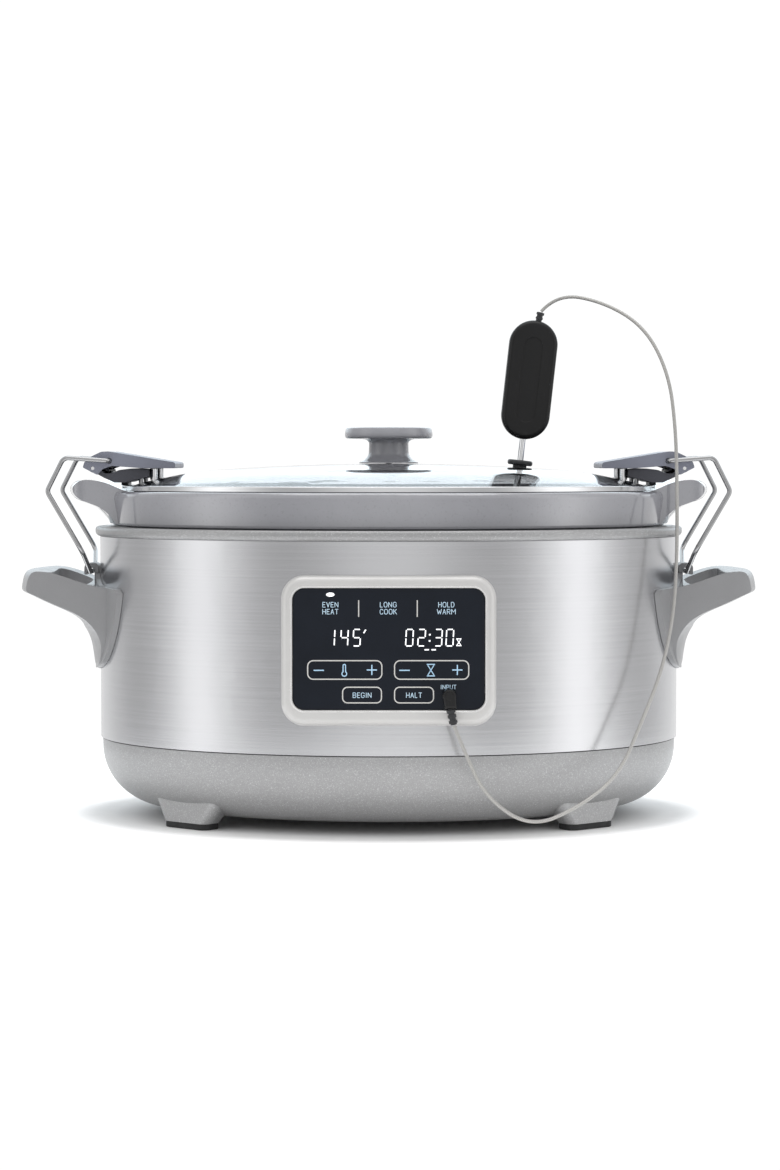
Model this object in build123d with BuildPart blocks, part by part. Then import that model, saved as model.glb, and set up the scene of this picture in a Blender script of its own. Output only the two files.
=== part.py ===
from build123d import *
import os
from math import atan, cos, degrees, hypot, radians, sin, sqrt, tan

os.makedirs("parts", exist_ok=True)

# Programmable oval slow cooker with a lock-down lid and a plug-in food probe.
# Millimetres. Z up, table at Z = 0, X to the right, the control panel faces -Y.
# The body is an oval: every oval piece is a circle of revolution squeezed in Y.

# ---- driving dimensions -------------------------------------------------
BAND_A, BAND_B = 185.5, 140.0        # outer half axes of the steel band
K = BAND_B / BAND_A                  # squeeze of every oval piece
BAND_T = 0.9
SEAM_Z, BAND_Z0, BAND_Z1 = 49.5, 50.3, 178.5
RIM_A, RIM_IN, RIM_TOP = 188.5, 172.6, 184.9
POT_Z0, POT_RIM_Z = 185.3, 207.4     # visible collar of the stoneware
MOUTH_A = 165.2
LUG_A, LUG_HALF = 204.5, 36.0
RING_A, RING_Z0, RING_Z1 = 171.5, 207.7, 211.1
GLASS_TOP = 225.0
KNOB_R = 28.3
PANEL_W, PANEL_H, PANEL_Z = 128.0, 89.6, 113.7
GLASS_W, GLASS_H, GLASS_Z = 114.4, 72.4, 114.85
PANEL_Y = 147.0                      # front plane of the bezel, at -Y
JACK_X, JACK_Z = 35.8, 87.9
HANDLE_A, HANDLE_HALF = 235.0, 49.5
PIVOT_X, PIVOT_Z = 186.9, 221.9      # lever pivot
WIRE_R, LEG_Y = 1.5, 40.0
SEAT_X, SEAT_Z = 190.9, 155.7        # wire seat under the hook
EYE_X, EYE_Z = 176.6, 226.6          # wire end at the lever
FOOT_X, FOOT_Y, FOOT_TURN = 121.6, 82.2, 39.3
ROD_R, GROMMET_BORE_R = 2.05, 2.12
PROBE_LEAN = 0.11                    # sideways lean per unit of height
PIN_R, PIN_BORE_R = 1.1, 1.15
CORD_R = 1.1

U = hypot(PROBE_LEAN, 1.0)
ROD_DIR = (PROBE_LEAN / U, 0, 1 / U)
ROD_O = (83.9, -10.0, 223.1)         # where the rod crosses the lid glass
rod_plane = Plane(origin=ROD_O, x_dir=(1 / U, 0, -PROBE_LEAN / U), z_dir=ROD_DIR)


def along(t, dx=0.0, dy=0.0):
    """A point t mm up the probe's own axis, offset across it."""
    return (
        ROD_O[0] + t * ROD_DIR[0] + dx / U,
        ROD_O[1] + dy,
        ROD_O[2] + t * ROD_DIR[2] - dx * PROBE_LEAN / U,
    )


def glass_z(x):
    """Height of the lid glass's top face at oval radius x."""
    return 210.4 + (GLASS_TOP - 210.4) * (1 - (x / 168.0) ** 3)


# ---- housing ------------------------------------------------------------
with BuildPart() as outer_band:
    with BuildSketch(Plane.XY.offset(BAND_Z0)):
        Ellipse(BAND_A, BAND_B)
        Ellipse(BAND_A - BAND_T, BAND_B - BAND_T, mode=Mode.SUBTRACT)
    extrude(amount=BAND_Z1 - BAND_Z0)
    with BuildSketch(Plane.XZ.offset(100)):
        with Locations((0, PANEL_Z)):
            RectangleRounded(108, 66, 5)
    extrude(amount=60, mode=Mode.SUBTRACT)
    with BuildSketch(Plane.XZ.offset(-100)):
        with Locations((0, 64)):
            Circle(6.2)
    extrude(amount=-60, mode=Mode.SUBTRACT)
    with BuildSketch(Plane.YZ.offset(150)):
        with Locations((22, 128), (-22, 128)):
            Circle(2.1)
    extrude(amount=60, mode=Mode.SUBTRACT)
    with BuildSketch(Plane.YZ.offset(-150)):
        with Locations((22, 128), (-22, 128)):
            Circle(2.1)
    extrude(amount=-60, mode=Mode.SUBTRACT)
outer_band.part.label = "outer_band"
export_step(outer_band.part, "parts/outer_band.step")

with BuildPart() as top_rim:
    with BuildSketch(Plane.XZ):
        with BuildLine():
            FilletPolyline(
                (RIM_IN, 178.7), (RIM_A, 178.7), (RIM_A, RIM_TOP), (177, RIM_TOP), (RIM_IN, 183.4),
                radius=[2.9, 3.0, 2.0, 0.8, 0.6], close=True,
            )
        make_face()
    revolve(axis=Axis.Z)
    scale(by=(1, K, 1))
top_rim.part.label = "top_rim"
export_step(top_rim.part, "parts/top_rim.step")

with BuildPart() as base_pan:
    with BuildSketch(Plane.XZ):
        with BuildLine():
            FilletPolyline((0, 7.2), (184.3, 7.2), (184.3, SEAM_Z), (0, SEAM_Z), radius=[0, 38, 0, 0], close=True)
        make_face()
    revolve(axis=Axis.Z)
    scale(by=(1, K, 1))
    # tapered foot pods, turned to follow the oval
    for sx, sy in ((1, 1), (1, -1), (-1, 1), (-1, -1)):
        turn = FOOT_TURN * (-sx * sy)
        with BuildSketch(Plane(origin=(sx * FOOT_X, sy * FOOT_Y, 3.9), x_dir=(cos(radians(turn)), sin(radians(turn)), 0), z_dir=(0, 0, 1))):
            RectangleRounded(37, 16.4, 6)
        with BuildSketch(Plane(origin=(sx * (FOOT_X - 3.8), sy * (FOOT_Y - 4.6), 26), x_dir=(cos(radians(turn)), sin(radians(turn)), 0), z_dir=(0, 0, 1))):
            RectangleRounded(70, 22, 10)
        loft()
    with BuildSketch(Plane.XZ, mode=Mode.PRIVATE) as pan_cavity:
        with BuildLine():
            FilletPolyline((0, 9.4), (182.1, 9.4), (182.1, SEAM_Z + 1), (0, SEAM_Z + 1), radius=[0, 35.8, 0, 0], close=True)
        make_face()
    with BuildPart(mode=Mode.PRIVATE) as pan_core:
        add(pan_cavity.sketch)
        revolve(axis=Axis.Z)
        scale(by=(1, K, 1))
    add(pan_core.part, mode=Mode.SUBTRACT)
    # spigot that locates the band
    with BuildSketch(Plane.XY.offset(SEAM_Z - 3)):
        Ellipse(184.1, 184.1 * K)
        Ellipse(181.9, 181.9 * K, mode=Mode.SUBTRACT)
    extrude(amount=9.5)
    # standoffs of the power board and the two tie-screw holes
    with BuildSketch(Plane.XY.offset(9.0)):
        with GridLocations(84, 52, 2, 2):
            Circle(3)
    extrude(amount=5.2)
    with BuildSketch(Plane.XY):
        with Locations((70, 0), (-70, 0)):
            Circle(2.2)
    extrude(amount=12, mode=Mode.SUBTRACT)
base_pan.part.label = "base_pan"
export_step(base_pan.part, "parts/base_pan.step")

with BuildPart() as foot_pads:
    for sx, sy in ((1, 1), (1, -1), (-1, 1), (-1, -1)):
        turn = FOOT_TURN * (-sx * sy)
        with BuildSketch(Plane(origin=(sx * FOOT_X, sy * FOOT_Y, 0), x_dir=(cos(radians(turn)), sin(radians(turn)), 0), z_dir=(0, 0, 1))):
            RectangleRounded(36, 15.4, 5.5)
        extrude(amount=3.9)
    fillet(foot_pads.edges().group_by(Axis.Z)[0], 0.8)
foot_pads.part.label = "foot_pads"
export_step(foot_pads.part, "parts/foot_pads.step")

with BuildPart() as heating_liner:
    with BuildSketch(Plane.XZ):
        with BuildLine():
            FilletPolyline(
                (0, 43.3), (155.6, 43.3), (171.8, 177.4), (183.4, 177.4), (183.4, 178.5), (170.6, 178.5), (154.5, 44.5), (0, 44.5),
                radius=[0, 23.2, 0, 0, 0, 0, 22, 0], close=True,
            )
        make_face()
    revolve(axis=Axis.Z)
    scale(by=(1, K, 1))
    with BuildSketch(Plane.XY.offset(40)):
        with Locations((70, 0), (-70, 0)):
            Circle(2.2)
    extrude(amount=8, mode=Mode.SUBTRACT)
heating_liner.part.label = "heating_liner"
export_step(heating_liner.part, "parts/heating_liner.step")

with BuildPart() as heater_band:
    with BuildSketch(Plane.XZ):
        with BuildLine():
            Polyline((159.75, 75), (164.95, 118), (167.2, 118), (162.0, 75), close=True)
        make_face()
    revolve(axis=Axis.Z)
    scale(by=(1, K, 1))
heater_band.part.label = "heater_band"
export_step(heater_band.part, "parts/heater_band.step")

with BuildPart() as tie_screws:
    for x in (70, -70):
        with BuildSketch(Plane.XY.offset(4.9)):
            with Locations((x, 0)):
                Circle(4.2)
        extrude(amount=2.3)
        with BuildSketch(Plane.XY.offset(7.2)):
            with Locations((x, 0)):
                Circle(2.0)
        extrude(amount=39.6)
        with BuildSketch(Plane.XY.offset(44.5)):
            with Locations((x, 0)):
                Circle(3.6)
        extrude(amount=2.2)
        with BuildSketch(Plane.XY.offset(4.9)):
            with Locations((x, 0)):
                Rectangle(5.6, 1.0)
                Rectangle(1.0, 5.6)
        extrude(amount=1.1, mode=Mode.SUBTRACT)
tie_screws.part.label = "tie_screws"
export_step(tie_screws.part, "parts/tie_screws.step")

with BuildPart() as thermistor:
    with BuildSketch(Plane.XY.offset(33)):
        Circle(7)
    extrude(amount=10.3)
    with BuildSketch(Plane.XY.offset(29)):
        with Locations((2.2, 0), (-2.2, 0)):
            Circle(0.8)
    extrude(amount=4)
    fillet(thermistor.edges().filter_by(GeomType.CIRCLE).sort_by(SortBy.RADIUS)[-1], 0.8)
thermistor.part.label = "thermistor"
export_step(thermistor.part, "parts/thermistor.step")

with BuildPart() as power_board:
    with BuildSketch(Plane.XY.offset(14.2)):
        RectangleRounded(96, 64, 3)
    extrude(amount=1.6)
    with BuildSketch(Plane.XY.offset(15.8)):
        with Locations((-30, 12)):
            Rectangle(28, 24)
        with Locations((8, -14)):
            Rectangle(19, 15)
        with Locations((34, 14)):
            Circle(6)
        with Locations((34, -16)):
            Rectangle(14, 10)
    extrude(amount=12)
power_board.part.label = "power_board"
export_step(power_board.part, "parts/power_board.step")

with BuildPart() as thermal_fuse:
    with BuildSketch(Plane.YZ.offset(18)):
        with Locations((40, 40.9)):
            Circle(2.3)
    extrude(amount=13)
    with BuildSketch(Plane.YZ.offset(14)):
        with Locations((40, 40.9)):
            Circle(0.6)
    extrude(amount=21)
thermal_fuse.part.label = "thermal_fuse"
export_step(thermal_fuse.part, "parts/thermal_fuse.step")

# inlet bushing of the mains cord, at the back
with BuildPart() as mains_bushing:
    with BuildSketch(Plane.XZ.offset(-136)):
        with Locations((0, 64)):
            Circle(8)
    extrude(amount=-2.8)
    with BuildSketch(Plane.XZ.offset(-138.8)):
        with Locations((0, 64)):
            Circle(6.0)
    extrude(amount=-1.3)
    with BuildSketch(Plane.XZ.offset(-140.1)):
        with Locations((0, 64)):
            Circle(8.5)
    extrude(amount=-6.9)
    fillet(mains_bushing.faces().sort_by(Axis.Y)[-1].edges(), 1.6)
    with BuildSketch(Plane.XZ.offset(-130)):
        with Locations((0, 64)):
            Circle(3.6)
    extrude(amount=-20, mode=Mode.SUBTRACT)
mains_bushing.part.label = "mains_bushing"
export_step(mains_bushing.part, "parts/mains_bushing.step")

# ---- control panel ------------------------------------------------------
with BuildPart() as control_bezel:
    with BuildSketch(Plane.XZ.offset(120)):
        with Locations((0, PANEL_Z)):
            RectangleRounded(PANEL_W, PANEL_H, 14)
    extrude(amount=PANEL_Y - 120)
    fillet(control_bezel.faces().sort_by(Axis.Y)[0].edges(), 4.5)
    with BuildSketch(Plane.XZ.offset(PANEL_Y)):
        with Locations((0, GLASS_Z)):
            RectangleRounded(GLASS_W + 2.2, GLASS_H + 2.2, 8.1)
    extrude(amount=-1.2, mode=Mode.SUBTRACT)
    with BuildSketch(Plane.XZ.offset(PANEL_Y)):
        with Locations((0, GLASS_Z)):
            RectangleRounded(GLASS_W + 0.3, GLASS_H + 0.3, 7.15)
    extrude(amount=-3.0, mode=Mode.SUBTRACT)
    with BuildSketch(Plane.XZ.offset(110)):
        with Locations((0, PANEL_Z)):
            RectangleRounded(107.4, 65.4, 4.7)
    extrude(amount=40, mode=Mode.SUBTRACT)
    with BuildSketch(Plane.XY.offset(60)):
        Ellipse(BAND_A + 0.1, BAND_B + 0.1)
    extrude(amount=110, mode=Mode.SUBTRACT)
control_bezel.part.label = "control_bezel"
export_step(control_bezel.part, "parts/control_bezel.step")

with BuildPart() as control_glass:
    with BuildSketch(Plane.XZ.offset(PANEL_Y - 3.0)):
        with Locations((0, GLASS_Z)):
            RectangleRounded(GLASS_W, GLASS_H, 7)
        with Locations((JACK_X, JACK_Z)):
            Circle(3.1, mode=Mode.SUBTRACT)
    extrude(amount=2.0)
    fillet(control_glass.faces().sort_by(Axis.Y)[0].outer_wire().edges(), 0.4)
control_glass.part.label = "control_glass"
export_step(control_glass.part, "parts/control_glass.step")

with BuildPart() as display_module:
    with BuildSketch(Plane.XZ.offset(140.2)):
        with Locations((0, 121.5)):
            Rectangle(88, 24)
    extrude(amount=3.7)
display_module.part.label = "display_module"
export_step(display_module.part, "parts/display_module.step")

with BuildPart() as control_pcb:
    with BuildSketch(Plane.XZ.offset(138.6)):
        with Locations((0, PANEL_Z)):
            RectangleRounded(104, 62, 3)
        with Locations((JACK_X, JACK_Z)):
            Circle(3.2, mode=Mode.SUBTRACT)
    extrude(amount=1.6)
    with BuildSketch(Plane.XZ.offset(138.6)):
        with Locations((-25, 96)):
            Rectangle(14, 14)
        with Locations((4, 100)):
            Rectangle(9, 5)
        with Locations((-6, 126)):
            Rectangle(20, 6)
    extrude(amount=-2.4)
control_pcb.part.label = "control_pcb"
export_step(control_pcb.part, "parts/control_pcb.step")

with BuildPart() as control_housing:
    with BuildSketch(Plane.XZ.offset(129.8)):
        with Locations((0, PANEL_Z)):
            RectangleRounded(107, 65, 4.5)
    extrude(amount=12.0)
    with BuildSketch(Plane.XZ.offset(131.2)):
        with Locations((0, PANEL_Z)):
            RectangleRounded(104.4, 62.4, 3.2)
    extrude(amount=12, mode=Mode.SUBTRACT)
control_housing.part.label = "control_housing"
export_step(control_housing.part, "parts/control_housing.step")

with BuildPart() as probe_socket:
    with BuildSketch(Plane.XZ.offset(132.5)):
        with Locations((JACK_X, JACK_Z)):
            Circle(3.0)
    extrude(amount=PANEL_Y - 0.9 - 132.5)
    with BuildSketch(Plane.XZ.offset(134)):
        with Locations((JACK_X, JACK_Z)):
            Circle(1.25)
    extrude(amount=20, mode=Mode.SUBTRACT)
probe_socket.part.label = "probe_socket"
export_step(probe_socket.part, "parts/probe_socket.step")

# ---- carry handles ------------------------------------------------------
# Side profile, turned about the centre of curvature of the oval's end, so the
# grip bows with the body.
END_X = BAND_A - BAND_B**2 / BAND_A
END_AXIS = Axis((END_X, 0, 0), (0, 0, 1))
with BuildPart() as handle_right:
    with BuildSketch(Plane.XZ):
        with BuildLine():
            top = Spline((176, 145.9), (192, 147.0), (206, 151.2), (219, 155.8), (229, 157.2))
            nose = Spline((229, 157.2), (233.6, 154.4), (HANDLE_A, 149.5), (235.4, 145.4), (233.2, 143.2), tangents=[(1, 0), (-0.9, -0.42)])
            under = Spline(nose @ 1, (218.5, 136.0), (200.5, 126.2), (192.2, 114.0), (189.4, 99.5), (188.4, 95.6), (185.6, 93.8), tangents=[(-0.9, -0.42), (-1, 0)])
            Polyline(under @ 1, (170, 93.8), (170, 145.9), (176, 145.9))
        make_face()
    revolve(axis=END_AXIS)
    # front view: the cheeks draw in towards the rounded lower tip
    with BuildSketch(Plane.YZ):
        with BuildLine():
            right = Spline(
                (0, 93.5), (22, 94.6), (36, 99.5), (44.5, 108), (48.0, 122), (HANDLE_HALF, 140), (HANDLE_HALF, 150),
                tangents=[(1, 0), (0, 1)],
            )
            left = Spline(
                (0, 93.5), (-22, 94.6), (-36, 99.5), (-44.5, 108), (-48.0, 122), (-HANDLE_HALF, 140), (-HANDLE_HALF, 150),
                tangents=[(-1, 0), (0, 1)],
            )
            Polyline(right @ 1, (HANDLE_HALF, 165), (-HANDLE_HALF, 165), left @ 1)
        make_face()
    extrude(amount=260, mode=Mode.INTERSECT)
    # plan view: rounded outer corners
    with BuildSketch(Plane.XY.offset(80)):
        with BuildLine():
            FilletPolyline((100, -HANDLE_HALF), (240, -HANDLE_HALF), (240, HANDLE_HALF), (100, HANDLE_HALF), radius=[0, 20, 20, 0], close=True)
        make_face()
    extrude(amount=90, mode=Mode.INTERSECT)
    # finger opening
    with BuildSketch(Plane.XY.offset(80)):
        with Locations((205.2, 0)):
            RectangleRounded(22.6, 77, 8)
    extrude(amount=90, mode=Mode.SUBTRACT)
    # escutcheon that hugs the band
    with BuildSketch(Plane.XY.offset(90)):
        Ellipse(BAND_A + 3.2, BAND_B + 3.2)
    shield = extrude(amount=66, mode=Mode.PRIVATE)
    with BuildSketch(Plane.YZ.offset(120)) as shield_face:
        with BuildLine():
            e1 = Spline((0, 94.0), (27, 95.6), (41, 100), (50, 108), (57, 120), (61.5, 134), (63, 141), (63.4, 144), tangents=[(1, 0), (0.05, 1)])
            e2 = Spline((0, 94.0), (-27, 95.6), (-41, 100), (-50, 108), (-57, 120), (-61.5, 134), (-63, 141), (-63.4, 144), tangents=[(-1, 0), (-0.05, 1)])
            Polyline(e1 @ 1, (60.5, 146.2), (34, 147.2), (19, 151.4), (13.5, 154.4), (-13.5, 154.4), (-19, 151.4), (-34, 147.2), (-60.5, 146.2), e2 @ 1)
        make_face()
    shield_prism = extrude(amount=100, mode=Mode.PRIVATE)
    add(shield & shield_prism)
    # seat on the band, screw pilot holes, wire-hook pocket
    with BuildSketch(Plane.XY.offset(60)):
        Ellipse(BAND_A + 0.1, BAND_B + 0.1)
    extrude(amount=120, mode=Mode.SUBTRACT)
    with BuildSketch(Plane.YZ.offset(150)):
        with Locations((22, 128), (-22, 128)):
            Circle(1.75)
    extrude(amount=42.5, mode=Mode.SUBTRACT)
    with BuildSketch(Plane.XY.offset(140)):
        with Locations((187.85, 0)):
            Rectangle(3.9, 18.2)
    extrude(amount=20, mode=Mode.SUBTRACT)
handle_right.part.label = "handle_right"
export_step(handle_right.part, "parts/handle_right.step")

with BuildPart() as handle_left:
    mirror(handle_right.part, about=Plane.YZ)
handle_left.part.label = "handle_left"
export_step(handle_left.part, "parts/handle_left.step")

with BuildPart() as handle_screws:
    for sx in (1, -1):
        for y in (22, -22):
            with BuildSketch(Plane.YZ.offset(sx * 178.6)):
                with Locations((y, 128)):
                    Circle(3.8)
            extrude(amount=sx * 2.5)
            with BuildSketch(Plane.YZ.offset(sx * 181.1)):
                with Locations((y, 128)):
                    Circle(1.7)
            extrude(amount=sx * 11)
handle_screws.part.label = "handle_screws"
export_step(handle_screws.part, "parts/handle_screws.step")

# wire hook: post, arch and turned-down tip over the wire seat
with BuildPart() as hook_right:
    with BuildSketch(Plane.XZ.offset(-9)):
        with BuildLine():
            FilletPolyline(
                (186.3, 140.1), (188.9, 140.1), (188.9, 157.9), (193.4, 157.9), (193.4, 153.6), (195.5, 153.6), (195.5, 161), (186.3, 161),
                radius=[0, 0, 1.4, 1.4, 0.8, 0.9, 3.2, 2.6], close=True,
            )
        make_face()
    extrude(amount=18)
hook_right.part.label = "hook_right"
export_step(hook_right.part, "parts/hook_right.step")

with BuildPart() as hook_left:
    mirror(hook_right.part, about=Plane.YZ)
hook_left.part.label = "hook_left"
export_step(hook_left.part, "parts/hook_left.step")

# ---- stoneware pot ------------------------------------------------------
with BuildPart() as stoneware_pot:
    # side grips, turned about the oval's axis and cut to width
    with BuildSketch(Plane.XZ):
        with BuildLine():
            g1 = Spline((168, 206.6), (176, 208.6), (184, 212.3), (194, 214.5), (200.5, 213.9), (LUG_A, 209.3), (202.6, 204.0), (196, 200.2), (188, 196.6), (182.4, 191.6), (179.2, 186.8), tangents=[(1, 0.1), (-0.5, -1)])
            Polyline(g1 @ 1, (168, 186.8), (168, 206.6))
        make_face()
    revolve(axis=END_AXIS)
    with BuildSketch(Plane.XY.offset(180)):
        with BuildLine():
            FilletPolyline((150, -LUG_HALF), (207, -LUG_HALF), (207, LUG_HALF), (150, LUG_HALF), radius=[0, 16, 16, 0], close=True)
        make_face()
    extrude(amount=50, mode=Mode.INTERSECT)
    mirror(about=Plane.YZ)
    with BuildSketch(Plane.XZ, mode=Mode.PRIVATE) as pot_profile:
        with BuildLine():
            FilletPolyline(
                (0, 48), (152.2, 48), (168.2, 180), (168.2, POT_Z0), (177.3, POT_Z0), (180, 204), (178.6, POT_RIM_Z), (MOUTH_A, POT_RIM_Z),
                (MOUTH_A, 199), (160.6, 190), (144.4, 57), (0, 57),
                radius=[0, 24, 2, 0.8, 2.4, 2.0, 2.6, 1.0, 3, 12, 18, 0], close=True,
            )
        make_face()
    with BuildPart(mode=Mode.PRIVATE) as pot_wall:
        add(pot_profile.sketch)
        revolve(axis=Axis.Z)
        scale(by=(1, K, 1))
    add(pot_wall.part)
stoneware_pot.part.label = "stoneware_pot"
export_step(stoneware_pot.part, "parts/stoneware_pot.step")

# ---- lid ----------------------------------------------------------------
with BuildPart() as lid_glass:
    with BuildSketch(Plane.XZ):
        with BuildLine():
            t1 = RadiusArc((3.6, GLASS_TOP), (110, GLASS_TOP - 4.03), 1500)
            t2 = TangentArc(t1 @ 1, (164.5, 210.9), tangent=t1 % 1)
            Polyline(t2 @ 1, (166.5, 210.2), (170.4, 210.2), (170.4, 207.8), (161.5, 207.8))
            b2 = TangentArc((110, GLASS_TOP - 7.2), (161.5, 207.8), tangent=t1 % 1)
            b1 = RadiusArc((3.6, GLASS_TOP - 3.2), (110, GLASS_TOP - 7.2), 1500)
            Line(b1 @ 0, t1 @ 0)
        make_face()
    revolve(axis=Axis.Z)
    scale(by=(1, K, 1))
    with BuildSketch(Plane.XY.offset(190)):
        with Locations((158, 18), (158, -18), (-158, 18), (-158, -18)):
            Circle(1.8)
        with Locations((149.3, 25), (149.3, -25), (-149.3, 25), (-149.3, -25)):
            Circle(1.5)
    extrude(amount=50, mode=Mode.SUBTRACT)
    with BuildSketch(rod_plane.offset(-20)):
        Circle(4.6)
    extrude(amount=40, mode=Mode.SUBTRACT)
lid_glass.part.label = "lid_glass"
export_step(lid_glass.part, "parts/lid_glass.step")

with BuildPart() as lid_ring:
    with BuildSketch(Plane.XZ):
        with BuildLine():
            FilletPolyline(
                (170.5, RING_Z0), (RING_A, RING_Z0), (RING_A, RING_Z1), (167.6, RING_Z1), (167.6, 210.3), (170.5, 210.3),
                radius=[0, 0.3, 0.8, 0.25, 0, 0], close=True,
            )
        make_face()
    revolve(axis=Axis.Z)
    scale(by=(1, K, 1))
lid_ring.part.label = "lid_ring"
export_step(lid_ring.part, "parts/lid_ring.step")

with BuildPart() as lid_gasket:
    with BuildSketch(Plane.XZ):
        with BuildLine():
            FilletPolyline(
                (161.6, 207.8), (161.6, 204.9), (162.4, 202.8), (164.4, 204.6), (163.2, 205.8), (163.9, 207.8),
                radius=[0, 0.6, 0.5, 0.6, 0.4, 0], close=True,
            )
        make_face()
    revolve(axis=Axis.Z)
    scale(by=(1, K, 1))
    # small reliefs where the bracket screws' heads sit beside the seal
    with BuildSketch(Plane.XY.offset(205.4)):
        with Locations((158, 18), (158, -18), (-158, 18), (-158, -18)):
            Circle(3.35)
    extrude(amount=2.6, mode=Mode.SUBTRACT)
lid_gasket.part.label = "lid_gasket"
export_step(lid_gasket.part, "parts/lid_gasket.step")

with BuildPart() as lid_knob:
    with BuildSketch(Plane.XZ):
        with BuildLine():
            Polyline((0, 225.2), (19.0, 225.2), (19.0, 225.9))
            Spline((19.0, 225.9), (14.8, 228.2), (12.9, 232.5), tangents=[(-1, 0.15), (0, 1)])
            Line((12.9, 232.5), (12.7, 237.4))
            Spline((12.7, 237.4), (14.2, 239.8), (18.5, 240.6), tangents=[(0, 1), (1, 0)])
            Line((18.5, 240.6), (26.4, 240.9))
            Spline((26.4, 240.9), (KNOB_R, 243.6), (27.6, 247.0), (25.4, 248.0), tangents=[(1, 0.1), (-1, 0)])
            Line((25.4, 248.0), (0, 248.6))
            Line((0, 248.6), (0, 225.2))
        make_face()
    revolve(axis=Axis.Z)
    with BuildSketch(Plane.XY.offset(220)):
        Circle(2.0)
    extrude(amount=17, mode=Mode.SUBTRACT)
lid_knob.part.label = "lid_knob"
export_step(lid_knob.part, "parts/lid_knob.step")

with BuildPart() as knob_screw:
    with BuildSketch(Plane.XY.offset(218.2)):
        Circle(4.2)
    extrude(amount=2.4)
    with BuildSketch(Plane.XY.offset(220.6)):
        Circle(1.95)
    extrude(amount=15)
    with BuildSketch(Plane.XY.offset(218.2)):
        Rectangle(5.4, 1.1)
        Rectangle(1.1, 5.4)
    extrude(amount=1.2, mode=Mode.SUBTRACT)
knob_screw.part.label = "knob_screw"
export_step(knob_screw.part, "parts/knob_screw.step")

with BuildPart() as knob_washer:
    with BuildSketch(Plane.XY.offset(220.6)):
        Circle(9)
        Circle(2.1, mode=Mode.SUBTRACT)
    extrude(amount=1.1)
knob_washer.part.label = "knob_washer"
export_step(knob_washer.part, "parts/knob_washer.step")

with BuildPart() as probe_grommet:
    with BuildSketch(rod_plane.offset(0.7)):
        Circle(8)
    extrude(amount=3.3)
    fillet(probe_grommet.edges().filter_by(GeomType.CIRCLE), 1.3)
    with BuildSketch(rod_plane.offset(-3.7)):
        Circle(4.4)
    extrude(amount=4.6)
    with BuildSketch(rod_plane.offset(-6.0)):
        Circle(6.6)
    extrude(amount=2.3)
    # the flanges lie against the curved glass
    add(lid_glass.part, mode=Mode.SUBTRACT)
    with BuildSketch(rod_plane.offset(-10)):
        Circle(GROMMET_BORE_R)
    extrude(amount=20, mode=Mode.SUBTRACT)
probe_grommet.part.label = "probe_grommet"
export_step(probe_grommet.part, "parts/probe_grommet.step")

# latch bracket, clamped on the lid edge; carries the lever pin
with BuildPart() as latch_bracket_right:
    with BuildSketch(Plane.XZ.offset(-34.2)):
        with BuildLine():
            FilletPolyline(
                (185.6, 219.0), (180, 215.9), (173.4, 212.9), (166.6, 212.9), (160.5, 214.6), (151.6, 216.6), (151.6, 221.2), (163, 221.8),
                (170.3, 220.9), (175.6, 218.7), (179.6, 218.6), (185.0, 223.6),
                radius=[0, 3, 3, 2, 2, 0.8, 1.2, 4, 5, 3, 2.5, 0], close=True,
            )
        make_face()
        with Locations((PIVOT_X, PIVOT_Z)):
            Circle(2.7)
    extrude(amount=68.4)
    with BuildSketch(Plane.XY.offset(RING_Z1)):
        with Locations((169.0, 0)):
            Rectangle(4.2, 24)
    extrude(amount=2.4)
    with BuildSketch(Plane.XZ.offset(-40)):
        with Locations((PIVOT_X, PIVOT_Z)):
            Circle(PIN_R)
    extrude(amount=80, mode=Mode.SUBTRACT)
    with BuildSketch(Plane.XY.offset(200)):
        with Locations((158, 18), (158, -18)):
            Circle(1.5)
    extrude(amount=19.5, mode=Mode.SUBTRACT)
latch_bracket_right.part.label = "latch_bracket_right"
export_step(latch_bracket_right.part, "parts/latch_bracket_right.step")

with BuildPart() as latch_bracket_left:
    mirror(latch_bracket_right.part, about=Plane.YZ)
latch_bracket_left.part.label = "latch_bracket_left"
export_step(latch_bracket_left.part, "parts/latch_bracket_left.step")

with BuildPart() as latch_screws:
    for sx in (1, -1):
        for y in (18, -18):
            with BuildSketch(Plane.XY.offset(205.6)):
                with Locations((sx * 158, y)):
                    Circle(3.2)
            extrude(amount=2.2)
            with BuildSketch(Plane.XY.offset(207.8)):
                with Locations((sx * 158, y)):
                    Circle(1.45)
            extrude(amount=11.2)
latch_screws.part.label = "latch_screws"
export_step(latch_screws.part, "parts/latch_screws.step")

# rest studs that carry the free end of each lever
with BuildPart() as latch_studs:
    for sx in (1, -1):
        for y in (25, -25):
            with BuildSketch(Plane.XY.offset(209.2)):
                with Locations((sx * 149.3, y)):
                    Circle(1.45)
            extrude(amount=5.4)
            with BuildSketch(Plane.XY.offset(214.6)):
                with Locations((sx * 149.3, y)):
                    Circle(2.3)
            extrude(amount=7.6)
    fillet(latch_studs.faces().filter_by(Axis.Z).group_by(Axis.Z)[-1].edges(), 0.6)
latch_studs.part.label = "latch_studs"
export_step(latch_studs.part, "parts/latch_studs.step")

with BuildPart() as lever_pins:
    for sx in (1, -1):
        with BuildSketch(Plane.XZ.offset(-36.8)):
            with Locations((sx * PIVOT_X, PIVOT_Z)):
                Circle(PIN_R)
        extrude(amount=73.6)
lever_pins.part.label = "lever_pins"
export_step(lever_pins.part, "parts/lever_pins.step")

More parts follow.
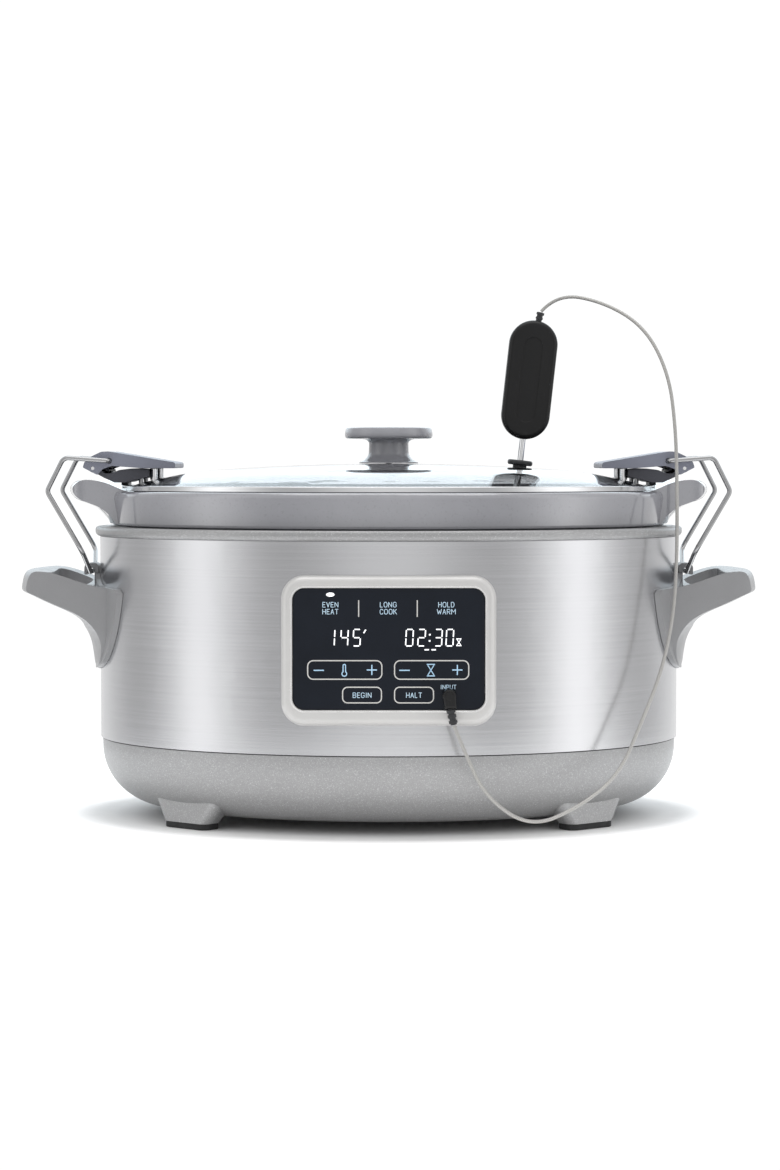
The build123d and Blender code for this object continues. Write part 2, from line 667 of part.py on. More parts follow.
# ---- latch levers -------------------------------------------------------
with BuildPart() as lever_right:
    with BuildSketch(Plane.XZ.offset(-37)):
        with BuildLine():
            FilletPolyline(
                (193.2, 222.4), (192.2, 225.6), (187.6, 229.5), (181.5, 232.4), (177.2, 232.6), (134.8, 225.6), (134.8, 221.9), (155, 221.9),
                (175, 223.4), (180.6, 221.4), (184.0, 217.7),
                radius=[0.8, 1.5, 5, 4, 3, 1.6, 1.0, 8, 4, 3, 1.0], close=True,
            )
        make_face()
    extrude(amount=74)
    # hollow underneath
    with BuildSketch(Plane.XZ.offset(-34.7)):
        with BuildLine():
            Polyline((190.6, 210), (190.6, 224.2), (186.6, 227.4), (181.0, 229.8), (177.6, 229.9), (141.0, 223.9), (141.0, 210), close=True)
        make_face()
    extrude(amount=69.4, mode=Mode.SUBTRACT)
    with BuildSketch(Plane.XZ.offset(-45)):
        with Locations((PIVOT_X, PIVOT_Z)):
            Circle(PIN_BORE_R)
        with Locations((EYE_X, EYE_Z)):
            Circle(1.8)
    extrude(amount=90, mode=Mode.SUBTRACT)
    # inner curl that snaps over the bracket
    with BuildSketch(Plane.XZ.offset(-20)):
        with BuildLine():
            Polyline((181.4, 229.9), (181.4, 222.6), (180.2, 220.2), (177.8, 219.6), (177.8, 221.0), (179.2, 221.7), (179.7, 223.2), (179.7, 230.2), close=True)
        make_face()
    extrude(amount=40)
lever_right.part.label = "lever_right"
export_step(lever_right.part, "parts/lever_right.step")

with BuildPart() as lever_left:
    mirror(lever_right.part, about=Plane.YZ)
lever_left.part.label = "lever_left"
export_step(lever_left.part, "parts/lever_left.step")

# ---- wire bails ---------------------------------------------------------
END_Y = 37.35
bail_points = [
    (EYE_X, -END_Y, EYE_Z), (EYE_X, -LEG_Y, EYE_Z), (204.8, -LEG_Y, 228.7), (215.5, -LEG_Y, 207.4), (193.2, -LEG_Y, 169.0),
    (SEAT_X, -13.5, SEAT_Z), (SEAT_X, 13.5, SEAT_Z),
    (193.2, LEG_Y, 169.0), (215.5, LEG_Y, 207.4), (204.8, LEG_Y, 228.7), (EYE_X, LEG_Y, EYE_Z), (EYE_X, END_Y, EYE_Z),
]
bail_radii = [2.4, 5, 5, 8, 3.2, 3.2, 8, 5, 5, 2.4]
with BuildPart() as bail_right:
    with BuildLine() as bail_path:
        FilletPolyline(*bail_points, radius=bail_radii)
    with BuildSketch(Plane(origin=bail_path.line @ 0, z_dir=bail_path.line % 0)):
        Circle(WIRE_R)
    sweep()
bail_right.part.label = "bail_right"
export_step(bail_right.part, "parts/bail_right.step")

with BuildPart() as bail_left:
    mirror(bail_right.part, about=Plane.YZ)
bail_left.part.label = "bail_left"
export_step(bail_left.part, "parts/bail_left.step")

# ---- food probe ---------------------------------------------------------
with BuildPart() as probe_rod:
    with BuildSketch(rod_plane.offset(-92)):
        Circle(ROD_R)
    extrude(amount=122)
    with BuildSketch(rod_plane.offset(-92)):
        Circle(ROD_R)
    with BuildSketch(rod_plane.offset(-101)):
        Circle(0.5)
    loft()
probe_rod.part.label = "probe_rod"
export_step(probe_rod.part, "parts/probe_rod.step")

PILL_L, PILL_W, PILL_T0 = 76.1, 31.0, 17.5
pill_mid = along(PILL_T0 + PILL_L / 2)
front_plane = Plane(origin=pill_mid, x_dir=ROD_DIR, z_dir=(0, -1, 0))
RELIEF_A = Vector(95.0, -10.0, 312.6)
RELIEF_B = Vector(97.2, -10.0, 321.4)
relief_dir = (RELIEF_B - RELIEF_A).normalized()
relief_plane = Plane(origin=RELIEF_A, x_dir=(0, 1, 0), z_dir=relief_dir)

with BuildPart() as probe_handle_front:
    with BuildSketch(front_plane.offset(0.1)):
        SlotOverall(PILL_L, PILL_W)
    extrude(amount=5.9)
    fillet(probe_handle_front.faces().sort_by(Axis.Y)[0].edges(), 3.2)
    with BuildSketch(front_plane.offset(5.5)):
        SlotOverall(PILL_L - 22, PILL_W - 19)
    extrude(amount=2, mode=Mode.SUBTRACT)
    with BuildSketch(rod_plane.offset(10)):
        Circle(ROD_R)
    extrude(amount=20, mode=Mode.SUBTRACT)
    with BuildSketch(relief_plane.offset(-0.2)):
        Circle(2.0)
    extrude(amount=12, mode=Mode.SUBTRACT)
probe_handle_front.part.label = "probe_handle_front"
export_step(probe_handle_front.part, "parts/probe_handle_front.step")

with BuildPart() as probe_handle_back:
    with BuildSketch(front_plane.offset(-0.1)):
        SlotOverall(PILL_L, PILL_W)
    extrude(amount=-5.9)
    fillet(probe_handle_back.faces().sort_by(Axis.Y)[-1].edges(), 3.2)
    with BuildSketch(rod_plane.offset(10)):
        Circle(ROD_R)
    extrude(amount=20, mode=Mode.SUBTRACT)
    with BuildSketch(relief_plane.offset(-0.2)):
        Circle(2.0)
    extrude(amount=12, mode=Mode.SUBTRACT)
probe_handle_back.part.label = "probe_handle_back"
export_step(probe_handle_back.part, "parts/probe_handle_back.step")

with BuildPart() as probe_relief:
    length = (RELIEF_B - RELIEF_A).length
    with BuildSketch(relief_plane):
        Circle(1.9)
    extrude(amount=length)
    with BuildSketch(relief_plane.offset(4.6)):
        Circle(2.35)
    extrude(amount=1.3)
    with BuildSketch(relief_plane.offset(7.4)):
        Circle(2.5)
    extrude(amount=1.5)
probe_relief.part.label = "probe_relief"
export_step(probe_relief.part, "parts/probe_relief.step")

# ---- plug of the probe cord ---------------------------------------------
PLUG_Y0, PLUG_Y1 = 147.3, 156.3
with BuildPart() as probe_plug:
    with BuildSketch(Plane.XZ.offset(PLUG_Y0)):
        with Locations((JACK_X + 0.1, JACK_Z - 0.4)):
            Circle(4.1)
        with BuildLine():
            Polyline((JACK_X - 3.9, JACK_Z - 0.4), (JACK_X + 4.1, JACK_Z - 0.4), (JACK_X + 4.4, 80.2), (JACK_X - 2.6, 80.2), close=True)
        make_face()
    extrude(amount=PLUG_Y1 - PLUG_Y0)
    fillet(probe_plug.faces().sort_by(Axis.Y)[0].edges(), 1.6)
    with BuildSketch(Plane.XZ.offset(PLUG_Y1 - 1)):
        with Locations((JACK_X + 0.1, JACK_Z - 0.2)):
            Circle(2.2)
    extrude(amount=1.7)
    with BuildSketch(Plane.XZ.offset(PLUG_Y0)):
        with Locations((JACK_X, JACK_Z)):
            Circle(1.2)
    extrude(amount=2, mode=Mode.SUBTRACT)
probe_plug.part.label = "probe_plug"
export_step(probe_plug.part, "parts/probe_plug.step")

with BuildPart() as plug_pin:
    with BuildSketch(Plane.XZ.offset(PLUG_Y0 + 2)):
        with Locations((JACK_X, JACK_Z)):
            Circle(1.2)
    extrude(amount=-13.5)
plug_pin.part.label = "plug_pin"
export_step(plug_pin.part, "parts/plug_pin.step")

PR_A = Vector(JACK_X + 0.75, -151.6, 80.1)
PR_B = Vector(38.6, -151.5, 70.3)
pr_plane = Plane(origin=PR_A, x_dir=(0, 1, 0), z_dir=(PR_B - PR_A).normalized())
with BuildPart() as plug_relief:
    length = (PR_B - PR_A).length
    with BuildSketch(pr_plane.offset(0.35)):
        Circle(1.9)
    extrude(amount=length - 0.35)
    for at in (1.0, 4.0, 7.4):
        with BuildSketch(pr_plane.offset(at)):
            Circle(2.6)
        extrude(amount=1.7)
plug_relief.part.label = "plug_relief"
export_step(plug_relief.part, "parts/plug_relief.step")

# ---- probe cord ---------------------------------------------------------
# Stainless braided lead, from the probe's strain relief to the plug's.
ROUTE = [
    (97.6, -10.2, 322.1), (107.8, -14.2, 333.3), (136.8, -27.2, 326.9), (161.5, -39.1, 310.4), (175.3, -49.5, 281.1),
    (179.0, -57.3, 246.9), (179.6, -61.4, 210.3), (179.4, -65.4, 172.4), (177.1, -73.5, 134.4), (168.7, -84.7, 98.0),
    (154.4, -101.2, 66.8), (139.5, -116.2, 36.2), (114.3, -134.2, 19.0), (84.3, -148.2, 8.5), (57.1, -153.2, 27.4),
    (44.4, -152.6, 56.0), (38.75, -151.5, 69.6),
]
pts = [Vector(*p) for p in ROUTE]
radii = []
for a, b, c in zip(pts, pts[1:], pts[2:]):
    turn = (b - a).get_angle(c - b)
    radii.append(round(0.45 * min((b - a).length, (c - b).length) / tan(radians(turn / 2)), 2))
with BuildPart() as probe_cord:
    with BuildLine() as cord_path:
        FilletPolyline(*ROUTE, radius=radii)
    with BuildSketch(Plane(origin=cord_path.line @ 0, z_dir=cord_path.line % 0)):
        Circle(CORD_R)
    sweep()
probe_cord.part.label = "probe_cord"
export_step(probe_cord.part, "parts/probe_cord.step")
path_length = sum(e.length for e in cord_path.edges())
print("cord radii", radii)
print("cord runs", [round((b - a).length, 1) for a, b in zip(pts, pts[1:])])
print("cord length", round(path_length, 1), "volume", round(probe_cord.part.volume, 1), "expected", round(path_length * 3.14159265 * CORD_R**2, 1))
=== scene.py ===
import math

import bmesh
import bpy
from mathutils import Matrix, Vector


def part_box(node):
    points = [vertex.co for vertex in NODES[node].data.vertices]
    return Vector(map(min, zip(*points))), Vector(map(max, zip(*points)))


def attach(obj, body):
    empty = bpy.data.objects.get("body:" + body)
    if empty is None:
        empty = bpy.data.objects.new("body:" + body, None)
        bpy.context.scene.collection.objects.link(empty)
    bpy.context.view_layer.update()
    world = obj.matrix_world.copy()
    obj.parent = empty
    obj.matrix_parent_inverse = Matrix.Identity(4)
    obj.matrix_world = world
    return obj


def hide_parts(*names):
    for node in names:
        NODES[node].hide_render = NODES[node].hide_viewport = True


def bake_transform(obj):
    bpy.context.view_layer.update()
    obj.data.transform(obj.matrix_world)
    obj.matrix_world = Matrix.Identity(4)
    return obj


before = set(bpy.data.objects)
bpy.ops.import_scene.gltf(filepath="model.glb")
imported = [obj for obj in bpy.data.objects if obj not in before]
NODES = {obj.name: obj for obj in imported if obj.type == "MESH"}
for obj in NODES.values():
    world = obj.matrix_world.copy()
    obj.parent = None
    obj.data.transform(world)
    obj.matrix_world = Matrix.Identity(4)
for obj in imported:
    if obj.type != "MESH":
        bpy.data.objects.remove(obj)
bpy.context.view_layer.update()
SCENE = bpy.context.scene
SCENE.view_settings.view_transform = "Standard"
MM = 0.001

# ------------------------------------------------------------------ camera
cam_data = bpy.data.cameras.new("camera")
cam_data.lens = 86.2
cam_data.sensor_width = 36.0
cam_data.sensor_fit = "AUTO"
cam_data.clip_start = 0.05
cam_data.clip_end = 60.0
cam_data.dof.use_dof = False
camera = bpy.data.objects.new("camera", cam_data)
camera.location = (0.0, -1.807, 0.227)
camera.rotation_euler = (math.radians(90.0 - 2.55), 0.0, -0.000464)
SCENE.collection.objects.link(camera)
SCENE.camera = camera


# ------------------------------------------------------------------ node helpers
class Mat:
    """A small builder round one Principled material in object coordinates."""

    def __init__(self, name):
        self.m = bpy.data.materials.new(name)
        self.m.use_nodes = True
        self.nt = self.m.node_tree
        self.nt.nodes.clear()
        self.out = self.n("ShaderNodeOutputMaterial")
        self.b = self.n("ShaderNodeBsdfPrincipled")
        self.link(self.b.outputs[0], self.out.inputs[0])
        self.tc = self.n("ShaderNodeTexCoord")

    def n(self, kind, **props):
        node = self.nt.nodes.new(kind)
        for k, v in props.items():
            setattr(node, k, v)
        return node

    def link(self, a, b):
        self.nt.links.new(a, b)

    def set(self, **values):
        for k, v in values.items():
            self.b.inputs[k.replace("_", " ")].default_value = v
        return self

    def coords(self, scale=(1, 1, 1)):
        mp = self.n("ShaderNodeMapping")
        mp.inputs["Scale"].default_value = scale
        self.link(self.tc.outputs["Object"], mp.inputs["Vector"])
        return mp.outputs["Vector"]

    def noise(self, scale=(100, 100, 100), detail=3.0, rough=0.55, dist=0.0):
        t = self.n("ShaderNodeTexNoise")
        t.inputs["Scale"].default_value = 1.0
        t.inputs["Detail"].default_value = detail
        t.inputs["Roughness"].default_value = rough
        t.inputs["Distortion"].default_value = dist
        self.link(self.coords(scale), t.inputs["Vector"])
        return t.outputs["Fac"]

    def cells(self, scale=1000.0, feature="F1"):
        t = self.n("ShaderNodeTexVoronoi", feature=feature)
        t.inputs["Scale"].default_value = scale
        self.link(self.tc.outputs["Object"], t.inputs["Vector"])
        return t

    def math(self, op, a, b=None, c=None, clamp=False):
        t = self.n("ShaderNodeMath", operation=op, use_clamp=clamp)
        for i, v in enumerate((a, b, c)):
            if v is None:
                continue
            if isinstance(v, (int, float)):
                t.inputs[i].default_value = v
            else:
                self.link(v, t.inputs[i])
        return t.outputs[0]

    def ramp(self, fac, stops, ease=False):
        r = self.n("ShaderNodeValToRGB")
        els = r.color_ramp.elements
        while len(els) < len(stops):
            els.new(0.5)
        for e, (p, c) in zip(els, stops):
            e.position = p
            e.color = (*c, 1.0) if len(c) == 3 else c
        if ease:
            r.color_ramp.interpolation = "EASE"
        self.link(fac, r.inputs[0])
        return r.outputs[0]

    def mix(self, fac, a, b, blend="MIX"):
        t = self.n("ShaderNodeMix", data_type="RGBA", blend_type=blend)
        if isinstance(fac, (int, float)):
            t.inputs[0].default_value = fac
        else:
            self.link(fac, t.inputs[0])
        for i, v in ((6, a), (7, b)):
            if isinstance(v, tuple):
                t.inputs[i].default_value = (*v, 1.0)
            else:
                self.link(v, t.inputs[i])
        return t.outputs[2]

    def rng(self, fac, lo, hi, f0=0.3, f1=0.7):
        t = self.n("ShaderNodeMapRange")
        self.link(fac, t.inputs[0])
        t.inputs[1].default_value = f0
        t.inputs[2].default_value = f1
        t.inputs[3].default_value = lo
        t.inputs[4].default_value = hi
        return t.outputs[0]

    def colour(self, socket):
        self.link(socket, self.b.inputs["Base Color"])
        return self

    def roughness(self, socket):
        self.link(socket, self.b.inputs["Roughness"])
        return self

    def bump(self, height, strength=0.1, dist=0.0002, bevel=0.0):
        t = self.n("ShaderNodeBump")
        t.inputs["Strength"].default_value = strength
        t.inputs["Distance"].default_value = dist
        self.link(height, t.inputs["Height"])
        if bevel:
            bv = self.n("ShaderNodeBevel")
            bv.samples = 4
            bv.inputs["Radius"].default_value = bevel
            self.link(bv.outputs[0], t.inputs["Normal"])
        self.link(t.outputs[0], self.b.inputs["Normal"])
        return self


def tone(c, k):
    return tuple(min(1.0, x * k) for x in c)


def moulded(name, base, lo, hi, grain=2600.0, strength=0.10, var=0.06, bevel=0.0, **extra):
    """Moulded or painted plastic: fine grain, slow colour drift, roughness patches."""
    k = Mat(name)
    slow = k.noise((38, 38, 38), 3)
    fine = k.noise((grain, grain, grain), 2)
    c = k.ramp(slow, [(0.30, tone(base, 1 - var)), (0.70, tone(base, 1 + var))])
    speck = k.ramp(fine, [(0.35, (0.94, 0.94, 0.94)), (0.65, (1, 1, 1))])
    k.colour(k.mix(1.0, c, speck, "MULTIPLY"))
    rub = k.noise((190, 190, 190), 4)
    k.roughness(k.rng(rub, lo, hi))
    k.bump(fine, strength, 0.00012, bevel)
    return k.set(**extra)


# ------------------------------------------------------------------ materials
def brushed_band():
    k = Mat("brushed_band")
    long1 = k.noise((10, 10, 2600), 3, 0.6)
    long2 = k.noise((4, 4, 1100), 3, 0.6)
    streak = k.math("MULTIPLY_ADD", long2, 0.45, k.math("MULTIPLY", long1, 0.55))
    slow = k.noise((9, 9, 9), 2)
    c = k.ramp(streak, [(0.30, (0.575, 0.577, 0.590)), (0.70, (0.622, 0.624, 0.637))])
    k.colour(k.mix(1.0, c, k.ramp(slow, [(0.3, (0.96, 0.96, 0.965)), (0.7, (1, 1, 1))]), "MULTIPLY"))
    k.roughness(k.rng(streak, 0.19, 0.25))
    k.bump(long1, 0.05, 0.00002)
    return k.set(Metallic=1.0, Anisotropic=0.35).m


def sparkle_paint():
    k = Mat("sparkle_paint")
    flake = k.cells(2700.0)
    rnd = k.n("ShaderNodeSeparateColor")
    k.link(flake.outputs["Color"], rnd.inputs[0])
    slow = k.noise((22, 22, 22), 3)
    base = k.ramp(rnd.outputs[0], [(0.0, (0.335, 0.335, 0.338)), (0.72, (0.375, 0.375, 0.378)),
                                   (0.93, (0.43, 0.43, 0.435)), (1.0, (0.60, 0.60, 0.61))])
    k.colour(k.mix(1.0, base, k.ramp(slow, [(0.3, (0.95, 0.95, 0.95)), (0.7, (1, 1, 1))]), "MULTIPLY"))
    k.roughness(k.rng(rnd.outputs[1], 0.34, 0.52, 0.0, 1.0))
    k.bump(rnd.outputs[2], 0.08, 0.00003)
    return k.set(Metallic=0.62, Coat_Weight=0.12, Coat_Roughness=0.22).m


def metal(name, base, lo, hi, scratch=(60, 60, 60), strength=0.03, **extra):
    k = Mat(name)
    n1 = k.noise(scratch, 5, 0.65)
    n2 = k.noise((900, 900, 900), 2)
    k.colour(k.ramp(n1, [(0.3, tone(base, 0.93)), (0.7, tone(base, 1.04))]))
    k.roughness(k.rng(n1, lo, hi))
    k.bump(n2, strength, 0.00003)
    return k.set(Metallic=1.0, **extra).m


def glaze():
    k = Mat("glazed_stoneware")
    slow = k.noise((26, 26, 26), 4)
    spot = k.noise((640, 640, 640), 2)
    c = k.ramp(slow, [(0.3, (0.236, 0.238, 0.260)), (0.7, (0.268, 0.270, 0.294))])
    k.colour(k.mix(1.0, c, k.ramp(spot, [(0.28, (0.90, 0.90, 0.90)), (0.42, (1, 1, 1))]), "MULTIPLY"))
    k.roughness(k.rng(slow, 0.12, 0.22))
    wave = k.noise((55, 55, 55), 3)
    k.bump(wave, 0.10, 0.0006)
    return k.set(Specular_IOR_Level=0.6, Coat_Weight=1.0, Coat_Roughness=0.05, Coat_IOR=1.90).m


def lid_glass():
    k = Mat("lid_glass")
    slow = k.noise((30, 30, 30), 3)
    k.colour(k.ramp(slow, [(0.3, (0.880, 0.905, 0.928)), (0.7, (0.898, 0.922, 0.943))]))
    k.roughness(k.rng(slow, 0.004, 0.014))
    k.bump(k.noise((12, 12, 12), 1), 0.01, 0.0004)
    return k.set(Transmission_Weight=1.0, IOR=1.46).m


def panel_gloss():
    k = Mat("panel_gloss")
    slow = k.noise((45, 45, 45), 3)
    dust = k.noise((1700, 1700, 1700), 2)
    c = k.ramp(slow, [(0.3, (0.0042, 0.0066, 0.0118)), (0.7, (0.0062, 0.0090, 0.0155))])
    k.colour(k.mix(1.0, c, k.ramp(dust, [(0.62, (1, 1, 1)), (0.78, (1.0, 1.0, 1.0))]), "MULTIPLY"))
    k.roughness(k.rng(slow, 0.10, 0.18))
    k.bump(dust, 0.015, 0.00003)
    return k.set(Specular_IOR_Level=0.20).m


def circuit_board():
    k = Mat("circuit_board")
    cell = k.cells(260.0)
    tr = k.ramp(cell.outputs["Distance"], [(0.28, (0.012, 0.10, 0.035)), (0.34, (0.03, 0.20, 0.07))])
    k.colour(tr)
    k.roughness(k.rng(k.noise((400, 400, 400)), 0.35, 0.5))
    k.bump(cell.outputs["Distance"], 0.1, 0.0001)
    return k.m


def heater_wrap():
    k = Mat("heater_wrap")
    n = k.noise((30, 30, 900), 3)
    k.colour(k.ramp(n, [(0.3, (0.42, 0.33, 0.20)), (0.7, (0.62, 0.52, 0.36))]))
    k.roughness(k.rng(n, 0.5, 0.75))
    k.bump(n, 0.3, 0.0003)
    return k.m


def braid():
    k = Mat("steel_braid")
    at = k.n("ShaderNodeAttribute", attribute_name="braid")
    strands = k.noise((3500, 3500, 3500), 2)
    # Painted shade: the strand height from the braid attribute darkens the colour in the gaps between strands, and
    # lightens it on the strand crowns as a painted highlight.
    c = k.ramp(at.outputs["Fac"], [(0.05, (0.14, 0.137, 0.13)), (0.45, (0.38, 0.37, 0.355)), (0.95, (0.60, 0.59, 0.57))])
    k.colour(k.mix(1.0, c, k.ramp(strands, [(0.3, (0.85, 0.85, 0.85)), (0.7, (1, 1, 1))]), "MULTIPLY"))
    k.roughness(k.rng(strands, 0.30, 0.48))
    k.bump(strands, 0.15, 0.00005)
    return k.set(Metallic=0.55).m


def lit(name, base, glow):
    k = Mat(name)
    n = k.noise((900, 900, 900), 2)
    k.colour(k.ramp(n, [(0.3, tone(base, 0.9)), (0.7, base)]))
    k.roughness(k.rng(n, 0.35, 0.5))
    k.set(Emission_Strength=glow)
    k.b.inputs["Emission Color"].default_value = (*base, 1.0)
    return k.m


M = {
    "brushed_band": brushed_band(),
    "sparkle_paint": sparkle_paint(),
    "black_rubber": moulded("black_rubber", (0.018, 0.018, 0.019), 0.55, 0.75, 1800, 0.2, 0.15).m,
    "liner_metal": metal("liner_metal", (0.70, 0.70, 0.71), 0.28, 0.45),
    "heater_wrap": heater_wrap(),
    "fastener": metal("fastener", (0.62, 0.62, 0.63), 0.22, 0.38),
    "circuit_board": circuit_board(),
    "black_plastic": moulded("black_plastic", (0.017, 0.017, 0.018), 0.30, 0.42, 2400, 0.12, 0.12, 0.0005).m,
    "bezel_paint": moulded("bezel_paint", (0.60, 0.592, 0.582), 0.34, 0.46, 2600, 0.05, 0.02, 0.0004, Metallic=0.35).m,
    "panel_gloss": panel_gloss(),
    "handle_plastic": moulded("handle_plastic", (0.255, 0.255, 0.262), 0.28, 0.40, 2400, 0.08, 0.03, 0.0006, Coat_Weight=0.10, Coat_Roughness=0.25).m,
    "hook_plastic": moulded("hook_plastic", (0.24, 0.242, 0.25), 0.32, 0.46, 2400, 0.10, 0.03, 0.0005).m,
    "glazed_stoneware": glaze(),
    "lid_glass": lid_glass(),
    "polished_steel": metal("polished_steel", (0.74, 0.745, 0.755), 0.07, 0.17, (35, 35, 35), 0.02),
    # The bail steel gets a dark base colour: painted shade standing in for the dark surroundings the chrome wire
    # reflects.
    "bail_steel_painted_shade": metal("bail_steel_painted_shade", (0.40, 0.40, 0.405), 0.16, 0.26, (60, 60, 60), 0.03),
    "ring_steel": metal("ring_steel", (0.72, 0.725, 0.735), 0.12, 0.22, (9, 9, 700), 0.03),
    "grey_silicone": moulded("grey_silicone", (0.10, 0.10, 0.105), 0.5, 0.7, 1500, 0.15, 0.08).m,
    "black_silicone": moulded("black_silicone", (0.022, 0.023, 0.026), 0.4, 0.55, 1500, 0.12, 0.1).m,
    "knob_plastic": moulded("knob_plastic", (0.345, 0.347, 0.375), 0.18, 0.28, 2400, 0.05, 0.03, 0.0004, Coat_Weight=0.35, Coat_Roughness=0.12).m,
    "latch_dark": moulded("latch_dark", (0.066, 0.068, 0.082), 0.38, 0.50, 2400, 0.10, 0.05, 0.0004, Specular_IOR_Level=0.35).m,
    "latch_plastic": moulded("latch_plastic", (0.222, 0.232, 0.284), 0.34, 0.46, 2400, 0.09, 0.03, 0.0005, Specular_IOR_Level=0.35).m,
    "probe_black": moulded("probe_black", (0.0085, 0.0085, 0.009), 0.30, 0.40, 3000, 0.06, 0.10, 0.0006, Specular_IOR_Level=0.28).m,
    "trim_bright": metal("trim_bright", (0.78, 0.775, 0.765), 0.18, 0.30, (90, 90, 90), 0.02),
    "steel_braid": braid(),
}

LOOK = {
    "outer_band": "brushed_band", "top_rim": "sparkle_paint", "base_pan": "sparkle_paint",
    "foot_pads": "black_rubber", "heating_liner": "liner_metal", "heater_band": "heater_wrap",
    "tie_screws": "fastener", "thermistor": "fastener", "power_board": "circuit_board",
    "thermal_fuse": "fastener", "mains_bushing": "black_rubber", "control_bezel": "bezel_paint",
    "control_glass": "panel_gloss", "display_module": "black_plastic", "control_pcb": "circuit_board",
    "control_housing": "black_plastic", "probe_socket": "black_plastic",
    "handle_right": "handle_plastic", "handle_left": "handle_plastic", "handle_screws": "fastener",
    "hook_right": "hook_plastic", "hook_left": "hook_plastic", "stoneware_pot": "glazed_stoneware",
    "lid_glass": "lid_glass", "lid_ring": "ring_steel", "lid_gasket": "grey_silicone",
    "lid_knob": "knob_plastic", "knob_screw": "fastener", "knob_washer": "fastener",
    "probe_grommet": "black_silicone", "latch_bracket_right": "latch_dark",
    "latch_bracket_left": "latch_dark", "latch_screws": "fastener", "latch_studs": "polished_steel",
    "lever_pins": "polished_steel", "lever_right": "latch_plastic", "lever_left": "latch_plastic",
    "bail_right": "bail_steel_painted_shade", "bail_left": "bail_steel_painted_shade", "probe_rod": "polished_steel",
    "probe_handle_front": "probe_black", "probe_handle_back": "probe_black",
    "probe_relief": "black_silicone", "probe_plug": "probe_black", "plug_pin": "polished_steel",
    "plug_relief": "black_silicone", "probe_cord": "steel_braid",
}
for name, obj in NODES.items():
    m = M[LOOK.get(name, "black_plastic")]
    if not obj.material_slots:
        obj.data.materials.append(m)
    for s in obj.material_slots:
        s.material = m


# ------------------------------------------------------------------ probe cord
ROUTE = [
    (0.0976, -0.0102, 0.3221), (0.1078, -0.0142, 0.3333), (0.1368, -0.0272, 0.3269),
    (0.1615, -0.0391, 0.3104), (0.1753, -0.0495, 0.2811), (0.1790, -0.0573, 0.2469),
    (0.1796, -0.0614, 0.2103), (0.1794, -0.0654, 0.1724), (0.1771, -0.0735, 0.1344),
    (0.1687, -0.0847, 0.0980), (0.1544, -0.1012, 0.0668), (0.1395, -0.1162, 0.0362),
    (0.1143, -0.1342, 0.0190), (0.0843, -0.1482, 0.0085), (0.0571, -0.1532, 0.0274),
    (0.0444, -0.1526, 0.0560), (0.03875, -0.1515, 0.0696),
]
CORD_D = 0.0022


def route_points(route):
    """The points of the NURBS line through this route, read back from Blender."""
    cu = bpy.data.curves.new("route", "CURVE")
    cu.dimensions = "3D"
    cu.resolution_u = 96
    sp = cu.splines.new("NURBS")
    sp.points.add(len(route) - 1)
    for p, c in zip(sp.points, route):
        p.co = (*c, 1.0)
    sp.order_u = 3
    sp.use_endpoint_u = True
    sp.resolution_u = 96
    ob = bpy.data.objects.new("route", cu)
    SCENE.collection.objects.link(ob)
    dg = bpy.context.evaluated_depsgraph_get()
    me = bpy.data.meshes.new_from_object(ob.evaluated_get(dg))
    pts = [v.co.copy() for v in me.vertices]
    bpy.data.objects.remove(ob)
    bpy.data.curves.remove(cu)
    bpy.data.meshes.remove(me)
    if (pts[0] - Vector(route[0])).length > (pts[-1] - Vector(route[0])).length:
        pts.reverse()
    return pts


def even(pts, step):
    """The same line, walked in equal steps."""
    d = [0.0]
    for a, b in zip(pts, pts[1:]):
        d.append(d[-1] + (b - a).length)
    n = max(2, round(d[-1] / step))
    out, j = [], 0
    for i in range(n + 1):
        s = d[-1] * i / n
        while j < len(pts) - 2 and d[j + 1] < s:
            j += 1
        t = (s - d[j]) / max(1e-9, d[j + 1] - d[j])
        out.append(pts[j].lerp(pts[j + 1], min(1.0, max(0.0, t))))
    return out, d[-1]


def braided(name, pts, frames, i0, i1, radius, sides=28, strands=8, pitch=0.0042, relief=0.00009):
    """A closed tube along pts[i0..i1] whose skin is a real over-and-under braid."""
    verts, faces, tint = [], [], []
    step = (pts[1] - pts[0]).length
    for i in range(i0, i1 + 1):
        u, v = frames[i]
        s = i * step
        for k in range(sides):
            th = 2 * math.pi * k / sides
            a = strands * th / (2 * math.pi) + s / pitch * strands / 4.0
            b = strands * th / (2 * math.pi) - s / pitch * strands / 4.0
            over = (math.floor(a) + math.floor(b)) % 2 == 0
            h = math.sin(math.pi * ((a if over else b) % 1.0))
            r = radius - relief + relief * 1.2 * h
            verts.append(pts[i] + (u * math.cos(th) + v * math.sin(th)) * r)
            # tint keeps the strand height, which the steel_braid material turns into painted shade in the gaps between
            # strands and a painted highlight on the crowns.
            tint.append(h)
    rings = i1 - i0 + 1
    for i in range(rings - 1):
        for k in range(sides):
            k2 = (k + 1) % sides
            faces.append((i * sides + k, i * sides + k2, (i + 1) * sides + k2, (i + 1) * sides + k))
    faces.append(tuple(reversed(range(sides))))
    faces.append(tuple((rings - 1) * sides + k for k in range(sides)))
    me = bpy.data.meshes.new(name)
    me.from_pydata([tuple(p) for p in verts], [], faces)
    at = me.attributes.new("braid", "FLOAT", "POINT")
    at.data.foreach_set("value", tint)
    me.materials.append(M["steel_braid"])
    bm = bmesh.new()
    bm.from_mesh(me)
    bmesh.ops.recalc_face_normals(bm, faces=bm.faces)
    bm.to_mesh(me)
    bm.free()
    for p in me.polygons:
        p.use_smooth = True
    ob = bpy.data.objects.new(name, me)
    SCENE.collection.objects.link(ob)
    return ob


